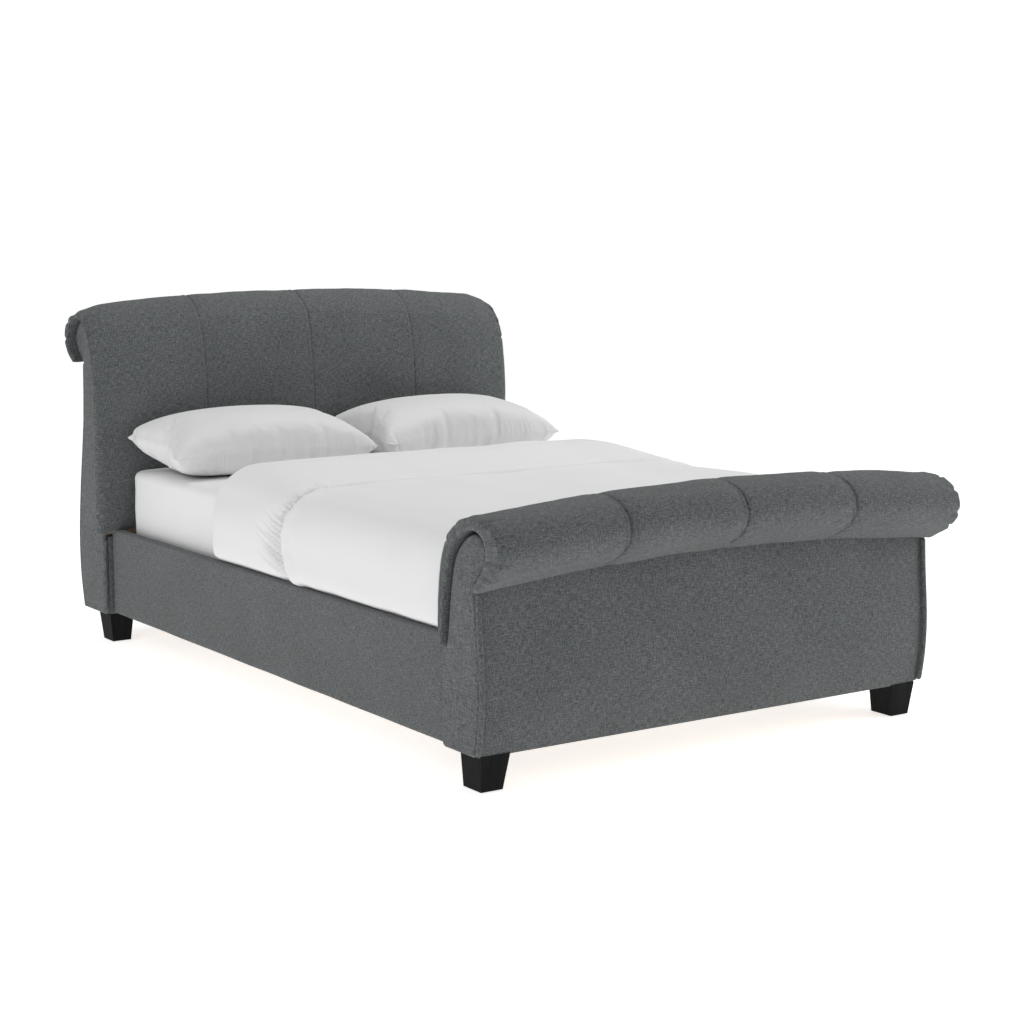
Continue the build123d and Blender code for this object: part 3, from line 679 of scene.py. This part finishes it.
def headboard():
    outer, inner = paired(HEAD_PAD_OUTER, HEAD_PAD_INNER, 4.5)
    rounding = 30.0
    across = end_spread(HEAD_PAD_HALF, rounding, 9.0, HEAD_SEAMS)
    folds = (560, 625, 690, 748, 800, 850, 905)

    def puff(w, t):
        quilt = stitched(w, HEAD_SEAMS, 3.4, 1.2) * ease(t, 10, 90)
        slack = 1.8 * waves(w, t, 230, 21) + 0.6 * waves(w, t, 70, 22)
        shoulder = -16.0 * ease(np.abs(w), HEAD_PAD_HALF - 95, HEAD_PAD_HALF) * ease(t, 480, 640)
        return 1.5 + quilt + slack + shoulder + tucks(w, t, HEAD_PAD_HALF, folds, 60.0, 5.0, 7.0)

    pad = band("headboard_pad_cloth", outer, inner, across,
               end_fullness(across, HEAD_PAD_HALF, rounding, 2.2), arched(HEAD_FACING_HALF), "bed_frame",
               "grey_linen", puff, draw=gathers(folds, 5.0, 6.0))
    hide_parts("headboard_pad")

    outline = np.vstack([smooth([(2312, 104), *HEAD_BACK[1:]], 12)[:-1], smooth(HEAD_SCROLL, 12),
                         smooth(HEAD_STEP, 4), corner_arc((2155, 104), FACING_CORNER, 180, 270),
                         corner_arc((2299, 104), FACING_CORNER, 270, 350)])
    line = smooth(HEAD_BACK, 12)
    for side, name in SIDES:
        facing = plate(f"headboard_{name}_facing_cloth", outline, side * (HEAD_FACING_HALF - FACING_THICK),
                       side * HEAD_FACING_HALF, FACING_EDGE, "bed_frame", "grey_linen")
        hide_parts(f"headboard_{name}_facing")
        path = in_side_plane(line, side * 736, 4.2)
        welt = tube(f"headboard_{name}_welt", path, 5.0, "bed_frame", "grey_linen")
        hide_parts(f"headboard_{name}_piping")

    back = resample(smooth([*HEAD_BACK[:-1], (2265, 872)], 30), 12.0)
    front = back - np.array([9.5, 0])
    half = HEAD_FACING_HALF - 16
    places = end_spread(half, 6.0, 16.0)

    def slack(w, t):
        return 0.8 * waves(w, t, 300, 31) - 0.8

    panel = band("headboard_back_panel_cloth", back, front, places, end_fullness(places, half, 6.0),
                 part_arched(HEAD_FACING_HALF, 92, 872), "bed_frame", "grey_linen", slack, bevel=0.6)
    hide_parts("headboard_back_panel")
    lower = rounded_box("headboard_lower_panel_cloth", (-726, 2142.2, 92), (726, 2150.3, 342), 3.5, 40,
                        "bed_frame", "grey_linen", (0, 2))
    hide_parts("headboard_lower_panel")


def side_rails():
    def swell(points):
        return 0.5 * waves(points[:, 1], points[:, 2], 240, 41) - 0.5

    for side, name in SIDES:
        low, high = sorted((side * 683.0, side * 714.0))
        rail = rounded_box(f"{name}_rail_cloth", (low, 168.5, 95), (high, 2141.5, 365), 7, 22,
                           "bed_frame", "grey_linen", (1, 2), swell)
        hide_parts(f"{name}_rail_cover", f"{name}_rail_core")


# Mattress and bedding

def rounded_rectangle(inset):
    """The mattress outline in plan, drawn in by an inset, always with the same number of points."""
    radius = max(MATTRESS_CORNER - inset, 8.0)
    middle = (MATTRESS_FORE + MATTRESS_AFT) / 2
    reach = np.array([MATTRESS_HALF - inset - radius, (MATTRESS_AFT - MATTRESS_FORE) / 2 - inset - radius])
    points = []
    corners = np.array([[1, 1], [-1, 1], [-1, -1], [1, -1]])
    for quarter, steps in enumerate((44, 62, 44, 62)):
        start = 90 * quarter
        sign = corners[quarter]
        after = corners[(quarter + 1) % 4]
        for a in np.radians(np.linspace(start, start + 90, 12)):
            points.append(sign * reach + radius * np.array([math.cos(a), math.sin(a)]))
        here = points[-1]
        ahead = after * reach + here - sign * reach
        for share in np.arange(1, steps) / steps:
            points.append(here + (ahead - here) * share)
    return np.array(points) + np.array([0, middle])


def stack(name, rings, body, slot, closed_bottom, puff=None):
    """A piece built from rounded rectangles laid one above another and closed at the top."""
    rows = []
    for inset, height in rings:
        ring = rounded_rectangle(inset)
        rows.append(np.column_stack([ring, np.full(len(ring), height)]))
    size = len(rows[0])
    points = np.vstack(rows)
    if puff:
        points = points + puff(points)
    faces = []
    for r in range(len(rows) - 1):
        for i in range(size):
            k = (i + 1) % size
            faces.append((r * size + i, r * size + k, (r + 1) * size + k, (r + 1) * size + i))
    if closed_bottom:
        faces.append(tuple(range(size)))
    faces.append(tuple((len(rows) - 1) * size + i for i in range(size)))
    cloth = np.column_stack([points[:, 0], points[:, 1] + points[:, 2], 0 * points[:, 0]]) * MM
    points = points * MM
    points[:, 1] -= MID_STATION * MM
    return make_object(name, points, faces, body, slot, cloth)


def sewn_layers(wide, deep):
    """Points, faces and rim points of two flat layers sewn along their rim."""
    columns, rows = 60, 38
    vertices = []
    faces = []
    index = {}

    def key(i, j, layer):
        edge = i in (0, columns) or j in (0, rows)
        return i, j, 0 if edge else layer

    for layer in (1, -1):
        for j in range(rows + 1):
            for i in range(columns + 1):
                here = key(i, j, layer)
                if here in index:
                    continue
                u = 2 * i / columns - 1
                v = 2 * j / rows - 1
                lift = 0.012 * here[2] * (1 - u ** 4) * (1 - v ** 4)
                pull_x = 1 - 0.035 * (1 - v * v)
                pull_y = 1 - 0.05 * (1 - u * u)
                index[here] = len(vertices)
                vertices.append((u * wide / 2 * pull_x, v * deep / 2 * pull_y, lift))
    for layer in (1, -1):
        for j in range(rows):
            for i in range(columns):
                ring = ((i, j), (i + 1, j), (i + 1, j + 1), (i, j + 1))
                faces.append([index[key(a, b, layer)] for a, b in ring][::layer])
    return np.array(vertices), faces, [index[k] for k in index if k[2] == 0]


def plumped(blown, flat, rim):
    """The blown shape brought to the pillow's size, full in the middle and pinched at its corners."""
    blown = blown / np.abs(blown).max(axis=0)
    u = np.abs(flat[:, 0]) / np.abs(flat[:, 0]).max()
    v = np.abs(flat[:, 1]) / np.abs(flat[:, 1]).max()
    plump = (1 - u ** 2.4) ** 0.55 * (1 - v ** 2.4) ** 0.5
    height = 0.35 * np.abs(blown[:, 2]) ** 0.86 + 0.65 * plump
    blown[:, 2] = np.sign(blown[:, 2]) * height
    blown[rim, 2] = 0
    pinch = (u * v) ** 6
    blown[:, 0] *= 1 - 0.035 * pinch
    blown[:, 1] *= 1 - 0.05 * pinch
    blown = blown * np.array(PILLOW_HALF)
    blown[rim] *= np.array([1.010, 1.016, 1.0])
    return blown


def laid_down(points, side):
    """A pillow's points leaned back, turned, pressed flat underneath and put in place."""
    tilt = math.radians(PILLOW_TILT)
    y = points[:, 1] * math.cos(tilt) - points[:, 2] * math.sin(tilt)
    z = points[:, 1] * math.sin(tilt) + points[:, 2] * math.cos(tilt)
    turn = math.radians(side * PILLOW_TURN)
    x = points[:, 0] * math.cos(turn) - y * math.sin(turn)
    y = points[:, 0] * math.sin(turn) + y * math.cos(turn)
    z = z + PILLOW_REST + PILLOW_RISE
    under = PILLOW_REST + 0.0004
    give = 0.016
    z = np.where(z < under + give, under + give * np.exp(np.minimum(0, z - under - give) / give), z)
    x = x + side * PILLOW_ASIDE + PILLOW_SHIFT
    y = y + (PILLOW_STATION - MID_STATION) * MM
    return np.stack([x, y, z], axis=1)


def pillow(name, side, node, seed):
    """A pillow blown up from two flat sewn layers, then laid on the mattress."""
    flat, faces, rim = sewn_layers(*PILLOW_FLAT)
    rng = random.Random(seed)
    jitter = np.array([[rng.uniform(-1, 1) for _ in range(3)] for _ in flat]) * 0.0012
    loose = bpy.data.meshes.new(name + "_flat")
    loose.from_pydata((flat + jitter).tolist(), [], faces)
    work = bpy.data.objects.new(name + "_flat", loose)
    bpy.context.scene.collection.objects.link(work)
    blown = inflate(work, 34, 7.0)
    bpy.data.objects.remove(work)

    points = laid_down(plumped(blown, flat, rim), side)
    cloth = np.column_stack([flat[:, 0], flat[:, 1] + side, 0.3 * np.sign(flat[:, 2])])
    # The pillow takes the darker pillow_cotton, whose colour carries painted shade
    piece = make_object(name, points, faces, node, "pillow_cotton", cloth)
    crease = piece.data.attributes.new("crease_edge", "FLOAT", "EDGE")
    on_rim = set(rim)
    crease.data.foreach_set("value", [0.75 if e.vertices[0] in on_rim and e.vertices[1] in on_rim else 0.0
                                      for e in piece.data.edges])
    finer = piece.modifiers.new("finer", "SUBSURF")
    finer.levels = 2
    finer.render_levels = 2
    bpy.context.view_layer.update()
    dense = bpy.data.meshes.new_from_object(piece.evaluated_get(bpy.context.evaluated_depsgraph_get()))
    piece.modifiers.clear()
    piece.data = dense
    gather_seams(dense, *PILLOW_FLAT, seed)
    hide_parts(node)


def gather_seams(mesh, wide, deep, seed):
    """Fine puckers that run in from a pillow's seams, deepest on its underside."""
    count = len(mesh.vertices)
    cloth = np.zeros(count * 3, np.float32)
    mesh.attributes["cloth"].data.foreach_get("vector", cloth)
    cloth = cloth.reshape(-1, 3)
    points = np.zeros(count * 3, np.float32)
    mesh.vertices.foreach_get("co", points)
    points = points.reshape(-1, 3)
    normals = np.array([v.normal[:] for v in mesh.vertices])
    u = cloth[:, 0]
    v = cloth[:, 1] - np.round(cloth[:, 1])
    under = np.where(normals[:, 2] < 0.05, 1.0, 0.35)
    push = 0 * u
    for along, reach in ((u, deep / 2 - np.abs(v)), (v, wide / 2 - np.abs(u))):
        wander = 2.2 * waves(along * 1000, reach * 1000, 70, seed)
        lines = np.sin(along * math.tau / PUCKER_PITCH + wander + 6 * reach / 0.05)
        patch = 0.55 + 0.45 * waves(along * 1000, 0 * along, 130, seed + 1)
        push = push + lines * patch * np.exp(-reach / PUCKER_REACH) * ease(reach, 0.0005, 0.006)
    points = points + normals * (push * under * PUCKER_DEPTH)[:, None]
    mesh.vertices.foreach_set("co", points.astype(np.float32).ravel())
    mesh.update()


def inflate(work, frames, pressure):
    """Run cloth with inner pressure and no gravity, and return the settled points."""
    cloth = work.modifiers.new("cloth", "CLOTH")
    settings = cloth.settings
    settings.quality = 7
    settings.mass = 0.2
    settings.tension_stiffness = 22
    settings.compression_stiffness = 22
    settings.shear_stiffness = 6
    settings.bending_stiffness = 1.2
    settings.use_pressure = True
    settings.uniform_pressure_force = pressure
    settings.effector_weights.gravity = 0
    cloth.collision_settings.use_collision = False
    cloth.point_cache.frame_start = 1
    cloth.point_cache.frame_end = frames
    scene = bpy.context.scene
    for step in range(1, frames + 1):
        scene.frame_set(step)
    settled = work.evaluated_get(bpy.context.evaluated_depsgraph_get())
    points = np.array([v.co[:] for v in settled.data.vertices])
    work.modifiers.remove(cloth)
    scene.frame_set(1)
    return points


def seam_station(t, total):
    """Where the duvet's body meets its cuff, by distance up from the left hem."""
    from_hem = np.minimum(t, total - t)
    knots = (0, 60, 100, 140, 190, 240, 280, 330, 400, 500, 920)
    stations = (936, 976, 988, 1000, 988, 972, 988, 1018, 1042, 1050, 1034)
    wander = 2.0 * np.sin(t / 13.0) + 1.5 * np.sin(t / 7.3 + 1)
    return np.interp(from_hem, knots, stations) + wander * ease(420 - from_hem, 0, 100)


def mattress_and_sheet():
    rings = [(2, 306.8), (0.5, 310), (0, 322), (0, 430), (0, 531), (2, 541), (7, 548), (14, 552), (22, 553.4),
             (52, 553.5)]
    body = stack("mattress_ticking", [(i + 1.0, z) for i, z in rings], "mattress", "ticking", True)
    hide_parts("mattress")

    def wrinkle(points):
        side = ease(-points[:, 2], -548, -500)
        out = 1.2 * waves(points[:, 1], points[:, 2] * 2, 170, 51) * side
        sign = np.sign(points[:, 0]) * (np.abs(points[:, 0]) > MATTRESS_HALF - 40)
        lift = 0.8 * waves(points[:, 0], points[:, 1], 260, 52) * (1 - side)
        return np.column_stack([out * sign, 0 * out, lift])

    skin = [(i - 2.2, z) for i, z in ((0, 322), (0, 380), (0, 440), (0, 500), (0, 533), (2, 543), (7, 550),
                                      (14, 554), (23, 555.6), (40, 555.9), (54, 555.9))]
    sheet = stack("fitted_sheet_cloth", skin, "mattress", "white_cotton", False, wrinkle)
    thick = sheet.modifiers.new("thick", "SOLIDIFY")
    thick.thickness = 0.0006
    thick.offset = -1
    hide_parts("fitted_sheet")


def rounded_off(share):
    """A quarter circle that falls from 1 to 0 as share goes from 0 to 1."""
    return np.sqrt(1 - np.clip(share, 0, 1) ** 2)


def duvet_body(outer, inner):
    """The duvet from the footboard to its cuff, with a lip at the seam."""
    total = lengths(outer)[-1]
    run = np.concatenate([np.linspace(0, 0.03, 7), np.linspace(0.045, 0.9, 70), np.linspace(0.91, 0.985, 12),
                          np.array([0.988, 0.991, 0.9935, 0.9957, 0.9974, 0.9987, 0.9996, 1.0])])
    full = np.minimum(rounded_off((run - 0.988) / 0.012), rounded_off((0.03 - run) / 0.03))
    full = np.maximum(full, 0.05)

    def body_place(w, first, second, t):
        seam = seam_station(np.clip(t, 0, total), total)
        station = DUVET_FORE + (seam - DUVET_FORE) * w
        return np.stack([first, station - MID_STATION, second], axis=-1) * MM

    def body_puff(w, t):
        station = DUVET_FORE + (DUVET_AFT - DUVET_FORE) * w
        from_hem = np.minimum(t, total - t)
        top = ease(from_hem, 230, 420)
        slack = 3.2 * waves(station, t, 420, 61) * top + 1.5 * waves(station, t, 170, 62)
        lip = 7.0 * ease(w, 0.92, 0.985) * (1 - 0.55 * top)
        shoulder = -10.0 * np.exp(-((from_hem - 235) / 70.0) ** 2) - 4.0 * top
        return slack + lip - 1.0 + shoulder * ease(w, 0.55, 0.95)

    duvet = band("duvet_body", outer, inner, run, full, body_place, "duvet", "white_cotton", body_puff)
    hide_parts("duvet")


def duvet_cuff(outer, inner):
    """The turned-back end of the duvet, gathered in deep folds along its seam."""
    total = lengths(outer)[-1]
    run = np.concatenate([np.array([0, 0.003, 0.008, 0.015, 0.024]), np.linspace(0.035, 0.3, 34),
                          np.linspace(0.32, 0.84, 24),
                          1 - 0.14 * (1 - np.sin(np.radians([12, 24, 36, 47, 57, 66, 74, 81, 86, 90])))])
    full = np.minimum(rounded_off((run - 0.86) / 0.14), 0.3 + 0.7 * ease(run, -0.004, 0.026))
    full = np.maximum(full, 0.05)

    def cuff_place(w, first, second, t):
        start = seam_station(np.clip(t, 0, total), total) + 1.5
        station = start + (CUFF_AFT - start) * w
        return np.stack([first, station - MID_STATION, second], axis=-1) * MM

    rng = random.Random(8)
    fold_lines = []
    reach = 8.0
    while reach < FOLD_ZONE:
        fold_lines.append((reach, rng.uniform(0.6, 1.0), rng.uniform(0.7, 1.2)))
        reach += rng.uniform(11, 19)

    def cuff_puff(w, t):
        from_hem = np.minimum(t, total - t)
        off = w * CUFF_DEPTH
        top = ease(from_hem, 190, 340)
        crown = (26 * ease(w, 0, 0.75) + 6) * top - 4.0 * (1 - top) * (1 - ease(w, 0, 0.15))
        valley = -(20.0 - 9.0 * top) * np.exp(-off / 22.0)
        folds = 0 * w
        for place, depth, long in fold_lines:
            span = (30 + 75 * math.exp(-((place - 60) / 100) ** 2)) * long
            line = from_hem - place - off * (0.55 - 0.5 * place / FOLD_ZONE)
            fade = np.exp(-(off / span) ** 2)
            folds = folds - 14.0 * depth * np.exp(-(line / 4.0) ** 2) * fade
            folds = folds + 5.0 * depth * np.exp(-((line - 7.5) / 4.5) ** 2) * fade
        folds = folds * (1 - ease(from_hem, 340, 440))
        slack = 2.5 * waves(off, t, 330, 71) * ease(w, 0.1, 0.4)
        shoulder = -16.0 * np.exp(-((from_hem - 225) / 70.0) ** 2) * ease(w, 0.15, 1.0)
        return crown + valley + folds + slack + shoulder

    cuff = band("duvet_cuff_fold", outer, inner, run, full, cuff_place, "duvet", "white_cotton", cuff_puff)
    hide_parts("duvet_cuff")


def bedding():
    mattress_and_sheet()
    outer, inner = paired(DUVET_OUTER, DUVET_INNER, 6.0)
    duvet_body(outer, inner)
    duvet_cuff(outer, inner)
    pillow("left_pillow_cloth", -1, "left_pillow", 5)
    pillow("right_pillow_cloth", 1, "right_pillow", 9)


def finish_cad_nodes():
    """Give every shown CAD solid the procedural material of its slot."""
    for entry in frame["record"]["subparts"]:
        node = frame["nodes"][entry["node"]]
        if not node.data.materials:
            node.data.materials.append(None)
        for holder in node.material_slots:
            holder.material = MATERIALS[entry["material_slot"]]


# Studio

def place_camera():
    camera = bpy.data.objects.new("camera", bpy.data.cameras.new("camera"))
    camera.location = CAMERA_PLACE
    camera.rotation_euler = (math.radians(CAMERA_PITCH), 0, math.radians(CAMERA_YAW))
    camera.data.lens = CAMERA_LENS
    camera.data.sensor_width = 36.0
    bpy.context.scene.collection.objects.link(camera)
    bpy.context.scene.camera = camera


def white_world():
    """White surroundings, brighter where seen directly than as light on the bed."""
    world = bpy.data.worlds.new("studio")
    bpy.context.scene.world = world
    world.use_nodes = True
    tree = world.node_tree
    background = tree.nodes["Background"]
    rays = add(tree, "ShaderNodeLightPath")
    strength = add(tree, "ShaderNodeMapRange", {"Value": (rays, "Is Camera Ray"), "To Min": WORLD_LIGHT,
                                                "To Max": WORLD_SEEN})
    tree.links.new(strength.outputs["Result"], background.inputs["Strength"])
    background.inputs["Color"].default_value = (1, 1, 1, 1)


def softbox(name, place, aim, size, power):
    light = bpy.data.lights.new(name, "AREA")
    light.shape = "SQUARE"
    light.size = size
    light.energy = power
    lamp = bpy.data.objects.new(name, light)
    lamp.location = place
    direction = np.array(aim) - np.array(place)
    lamp.rotation_euler = Vector(direction).to_track_quat("-Z", "Y").to_euler()
    bpy.context.scene.collection.objects.link(lamp)


def white_floor():
    """A wide white floor that glows a little and fades into the surroundings."""
    far = FLOOR_HALF
    mesh = bpy.data.meshes.new("floor")
    mesh.from_pydata([(-far, -far, 0), (far, -far, 0), (far, far, 0), (-far, far, 0)], [], [(0, 1, 2, 3)])
    floor = bpy.data.objects.new("floor", mesh)
    bpy.context.scene.collection.objects.link(floor)
    material, tree, shader = new_material("floor")
    place = add(tree, "ShaderNodeTexCoord")
    grain = scaled_noise(tree, (place, "Object"), (2, 2, 2), 2, 0.5)
    colour = ramp(tree, (grain, "Fac"), [(0.3, (0.80, 0.80, 0.80)), (0.7, (0.82, 0.82, 0.82))])
    tree.links.new(colour.outputs["Color"], shader.inputs["Base Color"])
    shader.inputs["Roughness"].default_value = 0.9
    shader.inputs["Emission Color"].default_value = (1, 1, 1, 1)
    shader.inputs["Emission Strength"].default_value = FLOOR_GLOW
    mesh.materials.append(material)


def studio():
    bpy.context.scene.view_settings.view_transform = "Standard"
    bpy.context.scene.view_settings.look = "None"
    place_camera()
    white_world()
    for box in SOFTBOXES:
        softbox(*box)
    white_floor()


finish_cad_nodes()
footboard()
headboard()
side_rails()
bedding()
studio()
